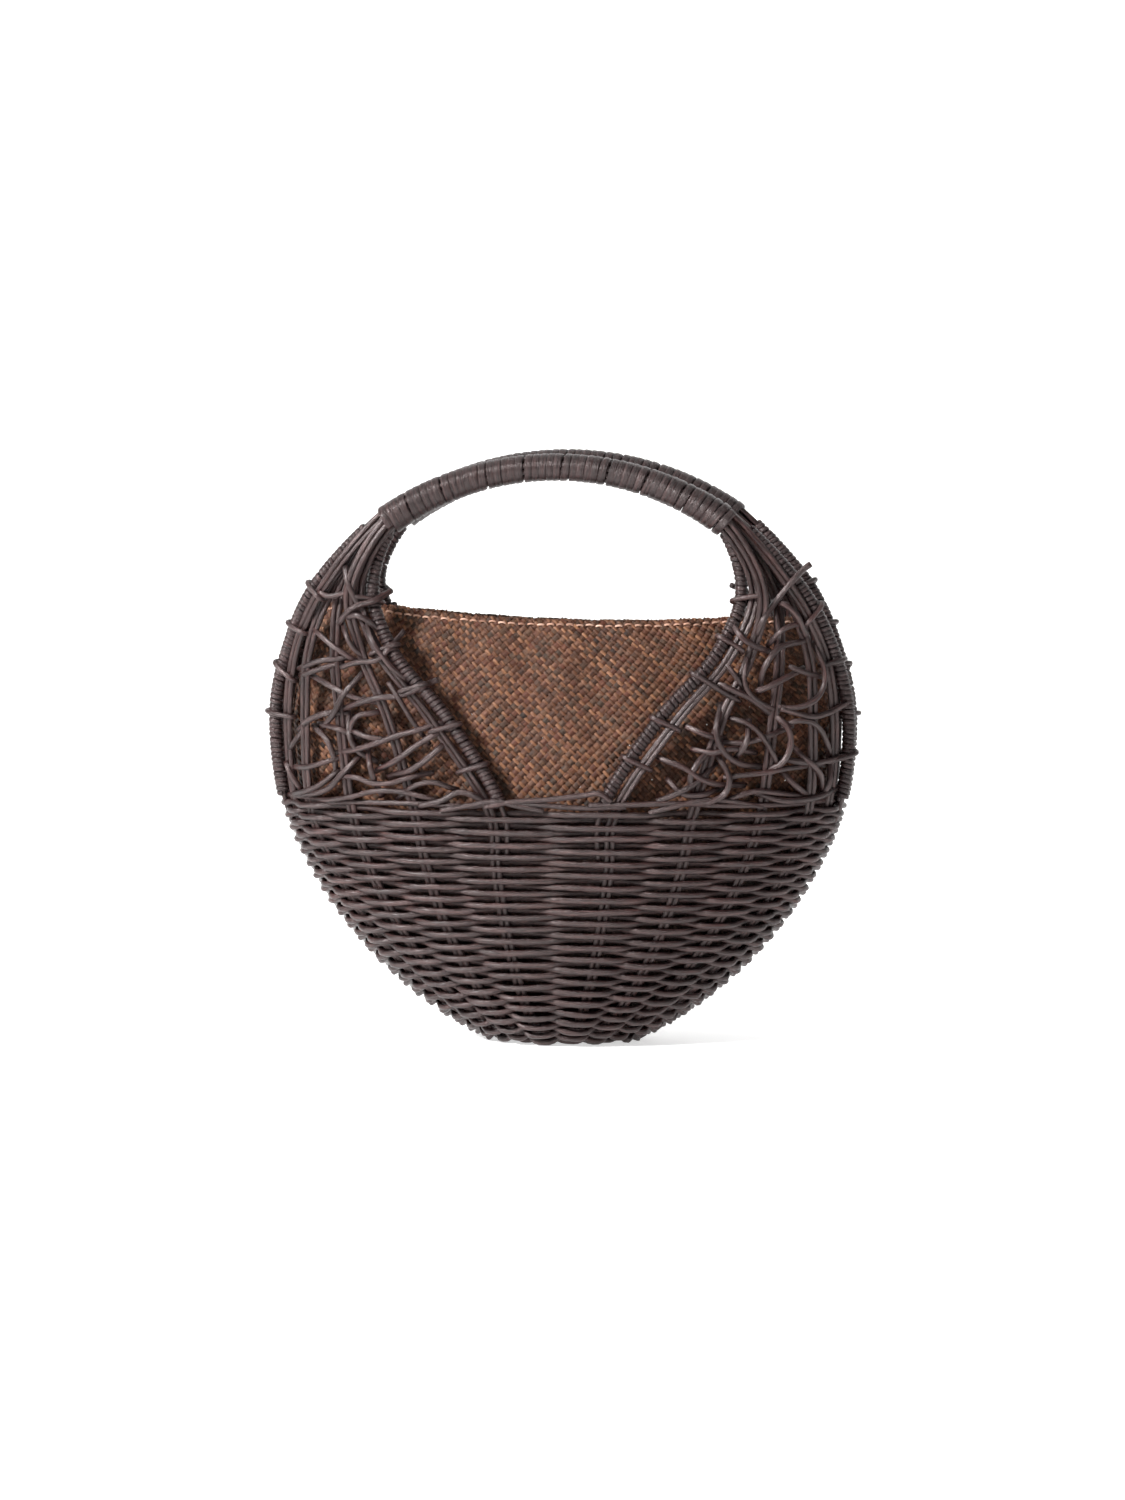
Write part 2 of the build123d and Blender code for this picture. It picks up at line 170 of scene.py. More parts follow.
class Strands:
    """Canes, peels, strips and threads gathered into one mesh."""

    def __init__(self):
        self.points, self.faces, self.fibre, self.tone = [], [], [], []
        self.count = 0

    def add(
        self, line, half_width, half_thick=None, section=ROUND,
        normal=None, tone=None, caps=True, rough=0.0,
    ):
        line = np.asarray(line, float)
        tangent, side, up = frames_of(line, normal)
        half_thick = half_width if half_thick is None else half_thick
        w = np.broadcast_to(half_width, len(line)).astype(float)
        h = np.broadcast_to(half_thick, len(line)).astype(float)
        run = run_of(line)
        if rough:
            w = w * (1 + wander(run, rough, 14))
            h = h * (1 + wander(run, rough, 11))
        across = section[None, :, 0] * w[:, None]
        out = section[None, :, 1] * h[:, None]
        body = line[:, None] + across[..., None] * side[:, None] + out[..., None] * up[:, None]
        n, k = body.shape[:2]
        start = RNG.uniform(0, 900, 3)
        fibre = np.stack([np.broadcast_to(run[:, None], (n, k)), across, out], 2) + start
        ring = np.arange(k)
        first = self.count + np.arange(n - 1)[:, None] * k
        after = np.roll(ring, -1)
        quads = np.stack([first + ring, first + after, first + k + after, first + k + ring], 2)
        self.points.append(body.reshape(-1, 3))
        self.fibre.append(fibre.reshape(-1, 3))
        self.faces.extend(quads.reshape(-1, 4).tolist())
        if caps:
            last = self.count + (n - 1) * k
            self.faces.append((self.count + ring[::-1]).tolist())
            self.faces.append((last + ring).tolist())
        shade = RNG.random() if tone is None else tone
        self.tone.append(np.repeat(np.broadcast_to(shade, n), k))
        self.count += n * k

    def piece(self, name, material, slot, replaces=()):
        points = np.concatenate(self.points) * MM
        mesh = bpy.data.meshes.new(name)
        mesh.from_pydata(points.tolist(), [], self.faces)
        mesh.attributes.new("fibre", "FLOAT_VECTOR", "POINT").data.foreach_set(
            "vector", np.concatenate(self.fibre).ravel().astype(np.float32)
        )
        mesh.attributes.new("tone", "FLOAT", "POINT").data.foreach_set(
            "value", np.concatenate(self.tone).astype(np.float32)
        )
        mesh.polygons.foreach_set("use_smooth", np.ones(len(mesh.polygons), bool))
        mesh.materials.append(material)
        mesh.update()
        made = bpy.data.objects.new(name, mesh)
        bpy.context.scene.collection.objects.link(made)
        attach(made, "root")
        if replaces:
            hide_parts(*replaces)
        return made


# ---- the bowl's surface ----
def outline_half(outline, level):
    span = outline["top"] - outline["start"]
    s = (outline["top"] - level) / span
    body = 1 - s ** outline["power"]
    half = outline["widest"] * body ** (1 / outline["root"])
    growth = half * outline["power"] * s ** (outline["power"] - 1) / (outline["root"] * body * span)
    return half, growth


def bowl_point(turn, level, depth):
    """Point and outward direction at a turn from the front's middle, a depth inside the bowl."""
    a, grow_a = outline_half(SIDE, level)
    b, grow_b = outline_half(FRONT, level)
    s, c = np.sin(turn), np.cos(turn)
    surface = np.stack([a * s, -b * c, level + 0 * turn], -1)
    outward = unit(np.stack([s / a, -c / b, -(s * s * grow_a / a + c * c * grow_b / b)], -1))
    return surface - outward * np.asarray(depth)[..., None], outward


def bowl_spot(turn, level, depth):
    return bowl_point(np.float64(turn), np.float64(level), np.float64(depth))[0]


TURNS = np.linspace(0, 2 * pi, 721)
LEVELS = np.linspace(0.0, BODY_TOP, 260)


def meridian_tables():
    """For each turn, the run down the bowl from its top edge to each level."""
    a = outline_half(SIDE, LEVELS)[0]
    b = outline_half(FRONT, LEVELS)[0]
    tables = []
    for turn in TURNS:
        line = np.stack([a * sin(turn), -b * cos(turn), LEVELS], 1)
        run = run_of(line)
        tables.append(run[-1] - run)
    return np.array(tables)


RUNS = meridian_tables()
ROWS = 42
SIDE_EASE = 0.19          # how much finer the rows are at the top of the ends than on average


def row_levels(place):
    """Level of a row all round the bowl; place 0 is the top edge and 1 the base."""
    levels = []
    for turn, runs in zip(TURNS, RUNS):
        even = 1 - SIDE_EASE * sin(turn) ** 2
        run = runs[0] * (even * place + (1 - even) * place * place)
        levels.append(np.interp(-run, -runs, LEVELS))
    return np.array(levels)


def stake_wave(turn):
    """+1 outside one stake, -1 outside the next, and level as it passes each."""
    degrees = np.degrees(turn) % 360
    marks = np.array([STAKES[-1] - 360, *STAKES, STAKES[0] + 360])
    k = np.searchsorted(marks, degrees, side="right") - 1
    share = (degrees - marks[k]) / (marks[k + 1] - marks[k])
    wave = np.cos(pi * share) * np.where(k % 2, -1, 1)
    return np.tanh(1.5 * wave) / np.tanh(1.5)


def ring_wobble(turn, size):
    total = 0
    for waves in (3, 5, 8, 13, 21):
        total = total + RNG.normal() * np.sin(waves * turn + RNG.uniform(0, 2 * pi)) / waves**0.4
    return total * size / 1.6


def bowl_row(strands, index):
    """One weaver all round the bowl, in front of every second pair of stakes."""
    levels = row_levels((index + 0.5) / ROWS)
    perimeter = run_of(bowl_point(TURNS, levels, 5.0)[0])
    turn = np.interp(np.linspace(0, perimeter[-1], int(perimeter[-1] / 2.3)), perimeter, TURNS)
    level = np.interp(turn, TURNS, levels)
    wobble = TOP_WOBBLE if index < WOBBLY_ROWS else ROW_WOBBLE
    level = np.clip(level + ring_wobble(turn, wobble), 0.1, None)
    sign = 1 if index % 2 else -1
    at_end = np.sin(turn) ** 8
    swing = WAVE + (END_WAVE - WAVE) * at_end
    depth = STAKE_DEPTH - ROW_OUT - END_SWELL * at_end - sign * swing * stake_wave(turn)
    line, outward = bowl_point(turn, level, depth)
    radius = ROW_RADIUS * RNG.uniform(0.9, 1.05)
    strands.add(line, radius, normal=outward, rough=0.08, caps=False)


# ---- hoops, from the bowl over the grips ----
def in_bundle(angle, outwards, forwards, facing):
    radius = GRIP_RADIUS + outwards * PAIR_PITCH
    return (
        radius * sin(radians(angle)),
        facing * (GRIP_Y + forwards * PAIR_PITCH),
        GRIP_CENTRE_Z + radius * cos(radians(angle)),
    )


def hoop_half(hoop, facing, turned=0.0):
    """Points of a hoop from its right foot to the neck of the fan."""
    if "angle" in hoop:
        angle = radians(hoop["angle"] + turned)
        turn = angle if facing < 0 else pi - angle
        depths = [STAKE_DEPTH] * len(STAKE_HEIGHTS)
        if hoop is OUTER_RIM:
            depths[-2:] = OUTER_FOOT_DEPTHS
        foot = [bowl_spot(turn, z, depth) for z, depth in zip(STAKE_HEIGHTS, depths)]
    else:
        foot = [np.array([x, facing * y, z]) for x, y, z in INNER_RIM_FOOT]
    layers = (0, 0, FAN_LAYER * hoop["slot"][1] * PAIR_PITCH)
    leans = [lean * facing if hoop is INNER_RIM else 0 for lean in INNER_RIM_LEANS]
    places = zip(hoop["x"], hoop["y"], FAN_HEIGHTS, layers, leans)
    fan = [np.array([x + lean, facing * (y + step), z]) for x, y, z, step, lean in places]
    return foot, fan


def hoop_lines(hoop, facing, sides=(-1, 1)):
    """Lines of a hoop's canes, from the right foot over the grip to the left foot."""
    foot, fan = hoop_half(hoop, facing)
    turned = hoop_half(hoop, facing, 1.0)[0]
    place = ACROSS_SHOULDER.index(hoop)
    angles = [BUNDLE_STEP * i * ARCH_SHARE for i in range(3, -4, -1)]
    out = [unit(b - a) if "angle" in hoop else np.array([1.0, 0, 0]) for a, b in zip(foot, turned)]
    before = ACROSS_SHOULDER[max(place - 1, 0)]
    after = ACROSS_SHOULDER[min(place + 1, len(ACROSS_SHOULDER) - 1)]
    outer_fan, inner_fan = hoop_half(before, facing)[1], hoop_half(after, facing)[1]
    out += [unit((p - q) * (1, 1, 0)) for p, q in zip(outer_fan, inner_fan)]
    out[-1] = np.array([1.0, 0, 0])
    mirror = np.array([-1.0, 1, 1])
    half = foot + fan
    lines = []
    for side in sides:
        grip = [np.array(in_bundle(a, hoop["slot"][0] + side / 2, hoop["slot"][1], facing)) for a in angles]
        right = [p + o * side * PAIR_PITCH / 2 for p, o in zip(half, out)]
        lines.append(spline(right + grip + [p * mirror for p in reversed(right)], 2.6))
    return lines


# ---- materials ----
class Shader:
    """A material built from procedural nodes."""

    def __init__(self, name):
        self.material = bpy.data.materials.new(name)
        self.material.use_nodes = True
        self.tree = self.material.node_tree
        self.surface = self.tree.nodes["Principled BSDF"]

    def node(self, kind, inputs, **settings):
        made = self.tree.nodes.new(kind)
        for key, value in settings.items():
            setattr(made, key, value)
        for key, value in inputs.items():
            if isinstance(value, bpy.types.NodeSocket):
                self.tree.links.new(value, made.inputs[key])
            else:
                made.inputs[key].default_value = value
        return made

    def attribute(self, name):
        made = self.node("ShaderNodeAttribute", {}, attribute_name=name)
        return made.outputs["Vector" if name == "fibre" else "Fac"]

    def place(self):
        return self.node("ShaderNodeTexCoord", {}).outputs["Object"]

    def scaled(self, vector, scale):
        return self.node("ShaderNodeVectorMath", {0: vector, 1: scale}, operation="MULTIPLY").outputs[0]

    def noise(self, vector, scale, detail=3.0, roughness=0.55):
        inputs = {"Vector": vector, "Scale": scale, "Detail": detail, "Roughness": roughness}
        return self.node("ShaderNodeTexNoise", inputs).outputs[0]

    def span(self, value, low, high, to_low=0.0, to_high=1.0):
        made = self.node("ShaderNodeMapRange", {0: value, 1: low, 2: high, 3: to_low, 4: to_high})
        return made.outputs[0]

    def ramp(self, value, stops):
        made = self.node("ShaderNodeValToRGB", {0: value})
        elements = made.color_ramp.elements
        while len(elements) < len(stops):
            elements.new(0.5)
        for element, (at, colour) in zip(elements, stops):
            element.position = at
            element.color = colour
        return made.outputs[0]

    def mix(self, share, a, b, blend="MIX"):
        made = self.node("ShaderNodeMix", {}, data_type="RGBA", blend_type=blend)
        for index, value in ((0, share), (6, a), (7, b)):
            if isinstance(value, bpy.types.NodeSocket):
                self.tree.links.new(value, made.inputs[index])
            else:
                made.inputs[index].default_value = value
        return made.outputs[2]

    def maths(self, operation, a, b):
        return self.node("ShaderNodeMath", {0: a, 1: b}, operation=operation).outputs[0]

    def blend(self, a, share_a, b, share_b):
        """Two values added, each at its own share."""
        return self.maths("ADD", self.maths("MULTIPLY", a, share_a), self.maths("MULTIPLY", b, share_b))

    def finish(self, colour, roughness, height, bump, specular, coat=0.0, coat_roughness=0.3):
        self.tree.links.new(colour, self.surface.inputs["Base Color"])
        self.tree.links.new(roughness, self.surface.inputs["Roughness"])
        self.surface.inputs["Specular IOR Level"].default_value = specular
        self.surface.inputs["Coat Weight"].default_value = coat
        self.surface.inputs["Coat Roughness"].default_value = coat_roughness
        made = self.node("ShaderNodeBump", {"Strength": bump[0], "Distance": bump[1], "Height": height})
        self.tree.links.new(made.outputs[0], self.surface.inputs["Normal"])
        return self.material


BLACK_TO_WHITE = [(0.0, (0, 0, 0, 1)), (1.0, (1, 1, 1, 1))]


def cane_material(name, dark, mid, worn, gloss, streak=1.0):
    """Stained round cane: lengthwise fibre, a shade of its own for each cane, rubbed patches."""
    shader = Shader(name)
    fibre = shader.attribute("fibre")
    tone = shader.attribute("tone")
    place = shader.place()
    lines = shader.noise(shader.scaled(fibre, (0.07, 1.0, 1.0)), 1.0, 4.0, 0.65)
    fine = shader.noise(shader.scaled(fibre, (0.12, 5.0, 5.0)), 1.0, 2.0, 0.6)
    blotch = shader.noise(place, 42.0, 3.0, 0.55)
    specks = shader.noise(place, 900.0, 2.0, 0.5)
    stain = shader.ramp(lines, [(0.36, dark), (0.5, mid), (0.7, worn)])
    shade = shader.ramp(shader.span(tone, 0.0, 1.0, 0.55, 1.0), BLACK_TO_WHITE)
    toned = shader.mix(1.0, stain, shade, "MULTIPLY")
    rubbed = shader.span(shader.maths("MULTIPLY", blotch, shader.span(fine, 0.35, 0.7)), 0.28, 0.5)
    colour = shader.mix(shader.maths("MULTIPLY", rubbed, 0.4), toned, worn)
    grain = shader.blend(fine, 0.6, specks, 0.4)
    rough = shader.span(grain, 0.3, 0.7, gloss, gloss + 0.24)
    height = shader.blend(lines, streak, fine, 0.5 * streak)
    shader.surface.inputs["Specular Tint"].default_value = (1.0, 0.86, 0.85, 1.0)
    return shader.finish(
        colour, rough, height, bump=(0.9, 0.0006), specular=0.62, coat=0.08, coat_roughness=0.18
    )


def strip_material(name, stops, gloss=0.5, lines_at=2.6):
    """Flat leaf strip: its own tone, lengthwise fibres, and painted shade where the bowl hides it."""
    shader = Shader(name)
    fibre = shader.attribute("fibre")
    tone = shader.attribute("tone")
    place = shader.place()
    own = shader.ramp(tone, stops)
    fibres = shader.noise(shader.scaled(fibre, (0.05, lines_at, 0.4)), 1.0, 4.0, 0.65)
    stretch = shader.noise(shader.scaled(fibre, (0.16, 0.3, 0.3)), 1.0, 2.0, 0.5)
    blotch = shader.noise(place, 70.0, 3.0, 0.6)
    dark = shader.mix(1.0, own, (0.38, 0.33, 0.3, 1), "MULTIPLY")
    pale = shader.mix(0.35, own, tint(170, 128, 104))
    colour = shader.mix(shader.span(fibres, 0.38, 0.62), dark, own)
    colour = shader.mix(shader.span(stretch, 0.5, 0.75, 0.0, 0.6), colour, pale)
    colour = shader.mix(shader.span(blotch, 0.56, 0.72, 0.0, 0.45), colour, dark)
    # painted shade: below the bowl's top edge the strips are darkened to stand in for the bowl's shadow on
    # the mat inside it (the mat's floor gets all of it)
    height = shader.node("ShaderNodeSeparateXYZ", {0: place}).outputs[2]
    painted_shade = shader.mix(1.0, colour, (0.22, 0.2, 0.2, 1), "MULTIPLY")
    colour = shader.mix(shader.span(height, BODY_TOP * MM, (BODY_TOP - 8) * MM), colour, painted_shade)
    rough = shader.span(fibres, 0.3, 0.7, gloss + 0.18, gloss)
    return shader.finish(colour, rough, fibres, bump=(0.7, 0.0004), specular=0.25)


CANE_DARK = tint(15, 6, 6)
CANE_MID = tint(37, 20, 19)
CANE_WORN = tint(76, 51, 48)
cane = cane_material("stained_cane", CANE_DARK, CANE_MID, CANE_WORN, 0.25)
peel = cane_material("wrapping_peel", tint(14, 6, 6), tint(33, 18, 18), tint(70, 47, 45), 0.29, 1.4)
mat_wide = strip_material("leaf_strips", [
    (0.0, tint(40, 26, 19)),
    (0.2, tint(76, 43, 26)),
    (0.42, tint(62, 45, 33)),
    (0.6, tint(86, 44, 27)),
    (0.8, tint(72, 48, 30)),
    (1.0, tint(94, 54, 32)),
])
mat_narrow = strip_material("leaf_splints", [
    (0.0, tint(56, 35, 24)),
    (0.35, tint(88, 55, 37)),
    (0.7, tint(108, 71, 50)),
    (1.0, tint(130, 90, 64)),
], 0.45, 1.6)
thread = strip_material("stitch_thread", [
    (0.0, tint(170, 128, 108)),
    (0.5, tint(196, 156, 136)),
    (1.0, tint(222, 184, 164)),
], 0.4, 2.0)

# ---- bowl ----
BANDS = (
    ("weave_edge", 0, 2, ["top_weavers"]),
    ("weave_upper", 2, 15, ["outer_weave"]),
    ("weave_middle", 15, 28, ["inner_weave"]),
    ("weave_lower", 28, ROWS, []),
)
for name, first, last, nodes in BANDS:
    band = Strands()
    for index in range(first, last):
        bowl_row(band, index)
    band.piece(name, cane, "cane", nodes)

# ---- base ----
BASE_HALF = (37.5, 23.5)
BASE_ROWS = 6
BASE_LEVEL = 3.3
BASE_ROW_PITCH = 3.3
BASE_ROW_RADIUS = 1.45
BASE_WAVE = 1.35
base = Strands()
for index in range(BASE_ROWS):
    half_x, half_y = (half - BASE_ROW_PITCH * (index + 0.4) for half in BASE_HALF)
    turn = np.linspace(0, 2 * pi, 110)
    sign = 1 if index % 2 else -1
    level = BASE_LEVEL - sign * BASE_WAVE * stake_wave(turn)
    line = np.stack([half_x * np.sin(turn), -half_y * np.cos(turn), level], 1)
    upward = np.tile([0, 0, 1.0], (len(line), 1))
    base.add(line, BASE_ROW_RADIUS, normal=upward, rough=0.05, caps=False)
for angle in STAKES:
    turn = radians(angle)
    outer = bowl_spot(turn, STAKE_HEIGHTS[0], STAKE_DEPTH)
    rim = np.array([33.0 * sin(turn), -19.5 * cos(turn), 4.4])
    heart = np.array([17.0 * sin(turn), -4.5 * cos(turn), BASE_LEVEL])
    base.add(spline([outer + [0, 0, 0.3], rim, heart], 2.5), 1.3)
for place in range(-3, 4):
    base.add(spline([(place * 3.0, -7, 2.7), (place * 3.0, 0, 2.1), (place * 3.0, 7, 2.7)], 2), 1.4)
base.piece("base_weave", cane, "cane", ["woven_base"])

# ---- hoops ----
for frame_name, facing in FRAMES:
    for name, hoop in HOOPS.items():
        pair = Strands()
        for line in hoop_lines(hoop, facing):
            pair.add(line, CANE / 2 * RNG.uniform(1.02, 1.1), rough=0.04)
        pair.piece(f"{frame_name}_{name}_pair", cane, "cane", [f"{frame_name}_{name}"])

# ---- rims, cores and coils ----
def coil(strands, core, radius, pitch, half_width, half_thick, section, per_turn, tilt, uneven):
    """A peel wound round a core, turn beside turn."""
    run = run_of(core)
    turns = run[-1] / pitch
    count = int(turns * per_turn)
    at = np.linspace(0, run[-1], count)
    place = np.stack([np.interp(at, run, core[:, i]) for i in range(3)], 1)
    radius = np.interp(at, run, np.broadcast_to(radius, len(core)))[:, None]
    _, side, up = frames_of(core)
    side = unit(np.stack([np.interp(at, run, side[:, i]) for i in range(3)], 1))
    up = unit(np.stack([np.interp(at, run, up[:, i]) for i in range(3)], 1))
    angle = 2 * pi * at / pitch + wander(at, uneven, pitch * 5)
    radial = side * np.cos(angle)[:, None] + up * np.sin(angle)[:, None]
    run_along = unit(np.gradient(place, axis=0))
    reference = unit(radial + run_along * tilt)
    strands.add(place + radial * radius, half_width, half_thick, section, reference, rough=0.05)


RIM_COIL = {"outer_rim": 3.1, "inner_rim": 2.95}     # radius of the winding's middle
OUTER_COIL_FOOT = 134.0
INNER_COIL_FOOT = 133.0
RIM_COIL_TAPERS = 250.0   # above this level the winding closes in, to go under the grip's
RIM_COIL_TOP = 281.0
RIM_COIL_CLOSED = 0.8     # and how much closer it lies at its top


def rim_line(hoop, facing, side):
    """A rim's middle line on one side, from its foot to the top of the grip."""
    line = hoop_lines(hoop, facing, (0,))[0] * (side, 1, 1)
    return line[: int(np.argmax(line[:, 2])) + 1]


def rim_stretch(hoop, facing, side):
    """The stretch of a rim from the bowl's edge up to the grip."""
    line = rim_line(hoop, facing, side)
    begins = OUTER_COIL_FOOT if hoop is OUTER_RIM else INNER_COIL_FOOT
    return line[(line[:, 2] > begins) & (line[:, 2] < RIM_COIL_TOP)]


for frame_name, facing in FRAMES:
    for name, hoop in (("outer_rim", OUTER_RIM), ("inner_rim", INNER_RIM)):
        core = Strands()
        core.add(hoop_lines(hoop, facing, (0,))[0], CANE / 2)
        core.piece(f"{frame_name}_{name}_cane", cane, "cane", [f"{frame_name}_{name}_core"])
        for side_name, side in SIDES:
            wound = Strands()
            stretch = resampled(rim_stretch(hoop, facing, side), 1.5)
            closed = RIM_COIL[name] - RIM_COIL_CLOSED
            radius = np.interp(stretch[:, 2], (RIM_COIL_TAPERS, RIM_COIL_TOP), (RIM_COIL[name], closed))
            coil(
                wound, stretch, radius, pitch=2.7, half_width=1.34, half_thick=0.68,
                section=ROUND, per_turn=16, tilt=0.2, uneven=0.6,
            )
            label = f"{frame_name}_{side_name}_{name}"
            wound.piece(f"{label}_coil", peel, "peel_wrap", [f"{label}_wrap"])

# ---- grips ----
GRIP_END_DROP = 1.5       # the ends sit lower than the arch
GRIP_COIL = 6.95          # radius of the winding's middle at the top of the arch
GRIP_COIL_SPREAD = 1.3    # and how much more at the ends, where the bundle opens
for frame_name, facing in FRAMES:
    angles = np.radians(np.linspace(-GRIP_HALF_ANGLE, GRIP_HALF_ANGLE, 160))
    towards_end = (angles / angles[-1]) ** 2
    arch = GRIP_RADIUS - GRIP_END_DROP * towards_end
    forward = np.full(len(angles), facing * GRIP_Y)
    core = np.stack([arch * np.sin(angles), forward, GRIP_CENTRE_Z + arch * np.cos(angles)], 1)
    wound = Strands()
    coil(
        wound, core, GRIP_COIL + GRIP_COIL_SPREAD * towards_end, pitch=4.1, half_width=2.12,
        half_thick=0.42, section=PEEL, per_turn=26, tilt=0.1, uneven=0.9,
    )
    wound.piece(f"{frame_name}_grip_peel", peel, "peel_wrap", [f"{frame_name}_grip_wrap"])

# ---- pouch of diagonal mat ----
POUCH_SECTIONS = [(8.5, 10.9), (16, 10.9), (34, 10.9), (60, 10.9), (94, 10.9), (131, 10.9)]
POUCH_UPPER = ((155, 147, 46), (180, 148.4, 40.6), (208, 141.6, 32.6), (234.6, 127.6, 23.6))
POUCH_FULL = (149.0, 42.0)
WIDE_PITCH = 3.7
NARROW_PITCH = 2.3
WIDE_ANGLE = radians(47)
NARROW_ANGLE = radians(44)
WIDE_LIFT = 0.26          # how far a strip goes out over the next slant's, and in under them
NARROW_LIFT = 0.44
FLOOR_LIFT = 0.13
WIDE_THICK = 0.24
NARROW_THICK = 0.21
WIDE_HALVES = (0.44, 0.485)         # half-widths, as shares of the pitch
NARROW_HALVES = (0.34, 0.42)
MAT_INSIDE = 0.9          # the mat's middle, inside the pouch's face
MAT_RISE = 0.05           # how much a section rises for its depth inside the bowl
RIPPLE = 0.5
RIPPLE_FROM, RIPPLE_OVER = 120, 60  # the level where it begins, and the climb to its full size
SAG_FROM, SAG_OVER = 150, 85        # the same for the mouth's sag
FOLD_RADIUS = 0.75
HEM_DROP = 9.0
# how far the mouth hangs, by whether the half mat is the rear one: at its middle, how much
# less towards its ends, and how much more to one side
MOUTH_SAG = {False: (3.7, 7.0, 2.8), True: (6.5, 8.4, -3.6)}


def pouch_profile():
    """Height, half-width and half-depth up the pouch, and the run up its middle."""
    rows = []
    for level, depth in POUCH_SECTIONS:
        at_end, at_middle = bowl_spot(pi / 2, level, depth), bowl_spot(0.0, level, depth)
        rows.append((level + depth * MAT_RISE, at_end[0], -at_middle[1]))
    smooth = spline([*rows, *POUCH_UPPER], 1.5)
    return smooth, run_of(smooth * (1, 0, 1))


PROFILE, CLIMB = pouch_profile()
CLIMB_TOP = CLIMB[-1]
SEAM_LAP = 3.0            # the two halves lap at the ends of the pouch


def round_pouch():
    """Run round a half mat from its middle, and the turn at each run, a little past the seam."""
    turn = np.linspace(-pi / 2 - 0.12, pi / 2 + 0.12, 500)
    run = run_of(np.stack([POUCH_FULL[0] * np.sin(turn), -POUCH_FULL[1] * np.cos(turn), 0 * turn], 1))
    return run - run[-1] / 2, turn


ARC_TURN = round_pouch()
HALF_ROUND = float(np.interp(pi / 2, ARC_TURN[1], ARC_TURN[0]))
GROW_X = np.gradient(PROFILE[:, 1], PROFILE[:, 0])
GROW_Y = np.gradient(PROFILE[:, 2], PROFILE[:, 0])


def on_mat(u, v, lift, spun=False):
    """A point of a half mat: u round from its middle, v up from the floor and over the hem."""
    turn = np.interp(u, *ARC_TURN)
    climb = np.minimum(v, CLIMB_TOP)
    z = np.interp(climb, CLIMB, PROFILE[:, 0])
    half_x = np.interp(climb, CLIMB, PROFILE[:, 1])
    half_y = np.interp(climb, CLIMB, PROFILE[:, 2])
    gx, gy = (np.interp(climb, CLIMB, g) for g in (GROW_X, GROW_Y))
    s, c = np.sin(turn), np.cos(turn)
    outward = unit(np.stack([s / half_x, -c / half_y, -(s * s * gx / half_x + c * c * gy / half_y)], -1))
    middle, ends, lean = MOUTH_SAG[spun]
    hang = middle - ends * np.minimum(s * s, 0.55) + lean * s
    sag = hang * np.clip((z - SAG_FROM) / SAG_OVER, 0, 1) ** 2
    ripple = RIPPLE * np.sin(turn * 23 + 1) * np.clip((z - RIPPLE_FROM) / RIPPLE_OVER, 0, 1)
    point = np.stack([half_x * s, -half_y * c, z - sag], -1)
    point = point - outward * (MAT_INSIDE - ripple)[..., None]
    over = np.maximum(v - CLIMB_TOP, 0)
    bend = np.minimum(over / FOLD_RADIUS, pi)
    up = np.array([0, 0, 1.0])
    facing = unit(outward * (1, 1, 0)) * np.cos(bend)[..., None] + up * np.sin(bend)[..., None]
    folded = v > CLIMB_TOP
    facing = np.where(folded[..., None], facing, outward)
    flat_out = unit(outward * (1, 1, 0))
    centre = point - flat_out * FOLD_RADIUS
    down = np.maximum(over - pi * FOLD_RADIUS, 0)
    curled = centre + facing * FOLD_RADIUS - up * down[..., None]
    point = np.where(folded[..., None], curled, point)
    point = point + facing * np.asarray(lift)[..., None]
    turned = (-1, -1, 1) if spun else (1, 1, 1)
    return point * turned, facing * turned


def mat_strips(strands, wide, spun):
    """All strips of one slant of a half mat. spun turns it half round for the rear."""
    angle = WIDE_ANGLE if wide else pi - NARROW_ANGLE
    pitch = WIDE_PITCH if wide else NARROW_PITCH
    direction = np.array([cos(angle), sin(angle)])
    across = np.array([-sin(angle), cos(angle)])
    high = CLIMB_TOP + HEM_DROP
    corners = np.array([(u, v) for u in (-HALF_ROUND, HALF_ROUND) for v in (0, high)]) @ across
    step = 2.1 if wide else 1.45
    wide_across = np.array([-sin(WIDE_ANGLE), cos(WIDE_ANGLE)])
    narrow_across = np.array([-sin(pi - NARROW_ANGLE), cos(pi - NARROW_ANGLE)])
    reach = 2 * (HALF_ROUND + high)
    along = np.arange(-reach, reach, step)
    for index in range(int(np.floor(corners.min() / pitch)) - 1, int(np.ceil(corners.max() / pitch)) + 2):
        shift = RNG.normal() * 0.12
        wobble = wander(along, 0.14, 40)
        uv = (across * (index * pitch + shift))[None] + along[:, None] * direction + wobble[:, None] * across
        keep = (abs(uv[:, 0]) < HALF_ROUND + SEAM_LAP) & (uv[:, 1] > 0) & (uv[:, 1] < high)
        if keep.sum() < 4:
            continue
        uv = uv[keep]
        i = uv @ wide_across / WIDE_PITCH
        j = uv @ narrow_across / NARROW_PITCH
        if wide:
            lift = WIDE_LIFT * np.cos(pi * j) * (-1) ** index
            half_width = RNG.uniform(*WIDE_HALVES) * WIDE_PITCH
            shown = np.floor((j + (index + 1) % 2) / 2).astype(int)
            patches = RNG.uniform(-0.22, 0.22, shown.max() - shown.min() + 1)[shown - shown.min()]
            tone = np.clip(RNG.random() * 0.8 + 0.1 + patches, 0, 1)
        else:
            lift = -NARROW_LIFT * np.cos(pi * i) * (-1) ** index
            half_width = RNG.uniform(*NARROW_HALVES) * NARROW_PITCH
            tone = None
        point, facing = on_mat(uv[:, 0], uv[:, 1], lift, spun)
        side = np.cross(unit(np.gradient(point, axis=0)), facing)
        facing = facing + side * RNG.normal() * 0.06
        thick = WIDE_THICK if wide else NARROW_THICK
        strands.add(point, half_width, thick, SPLINT, facing, tone, rough=0.04)


